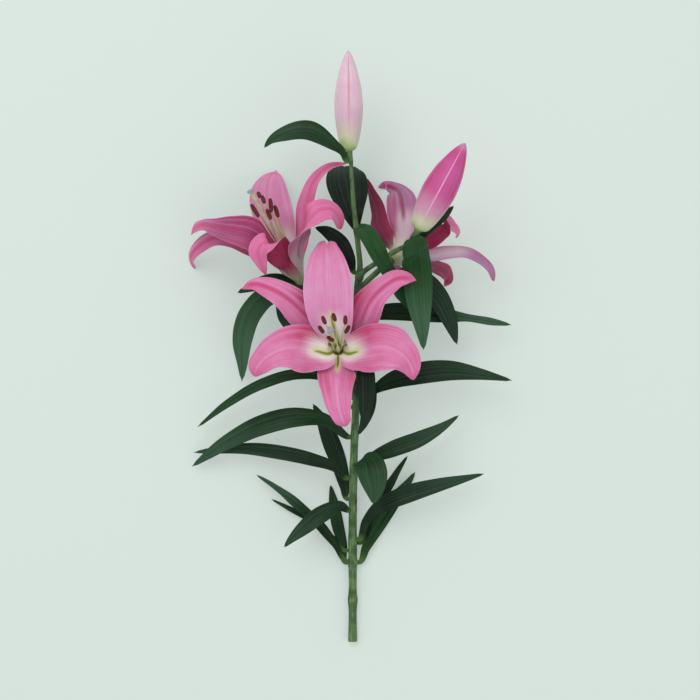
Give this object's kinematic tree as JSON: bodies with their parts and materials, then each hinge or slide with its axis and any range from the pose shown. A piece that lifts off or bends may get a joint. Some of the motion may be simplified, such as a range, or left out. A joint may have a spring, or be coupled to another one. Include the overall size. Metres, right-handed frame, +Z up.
{
  "type": "cut lily stem",
  "caption": "Cut oriental lily lying down: leafy stem with open pink blooms, closed buds and stamens",
  "frame": {"origin": "bottom centre of the whole lily's box, on the surface it lies on, below the leafy middle of the stem", "axes": "+Z is up from the surface, +Y runs along the stem from its cut end to the top bud, +X is to the right of the stem seen from above with the buds away from the viewer"},
  "size_m": [0.3611, 0.6597, 0.1563],
  "materials": {
    "stem": "satin green stem skin",
    "leaf": "dark green, half-gloss leaf with fine lengthwise veins",
    "petal": "soft waxy pink petal with a pale midrib and a white throat",
    "bud": "waxy pale pink bud, greenish cream at its foot",
    "stamen": "pale green filaments and style, maroon anthers"
  },
  "bodies": {
    "root": {"bud_right": "bud", "bud_top": "bud", "front_petal_down": "petal", "front_petal_lower_left": "petal", "front_petal_lower_right": "petal", "front_petal_up": "petal", "front_petal_upper_left": "petal", "front_petal_upper_right": "petal", "front_stamens": "stamen", "leaf_behind_left": "leaf", "leaf_behind_top": "leaf", "leaf_bud_back": "leaf", "leaf_bud_bract": "leaf", "leaf_front_broad": "leaf", "leaf_front_left": "leaf", "leaf_front_right": "leaf", "leaf_left_bract": "leaf", "leaf_left_hanging": "leaf", "leaf_left_long": "leaf", "leaf_left_middle": "leaf", "leaf_left_narrow": "leaf", "leaf_left_under": "leaf", "leaf_low_left_edge": "leaf", "leaf_low_left_sliver": "leaf", "leaf_low_right": "leaf", "leaf_low_right_edge": "leaf", "leaf_lowest_left": "leaf", "leaf_lowest_right": "leaf", "leaf_middle_back": "leaf", "leaf_middle_front": "leaf", "leaf_resting": "leaf", "leaf_right_hanging": "leaf", "leaf_right_level": "leaf", "leaf_right_long": "leaf", "leaf_right_raised": "leaf", "leaf_top_left": "leaf", "left_petal_down": "petal", "left_petal_left": "petal", "left_petal_lower_left": "petal", "left_petal_right": "petal", "left_petal_up": "petal", "left_petal_upper_right": "petal", "left_stamens": "stamen", "right_petal_lower": "petal", "right_petal_lower_right": "petal", "right_petal_right": "petal", "right_petal_upper": "petal", "right_petal_upper_left": "petal", "right_petal_viewer": "petal", "right_stamens": "stamen", "stem": "stem"}
  },
  "joints": []
}
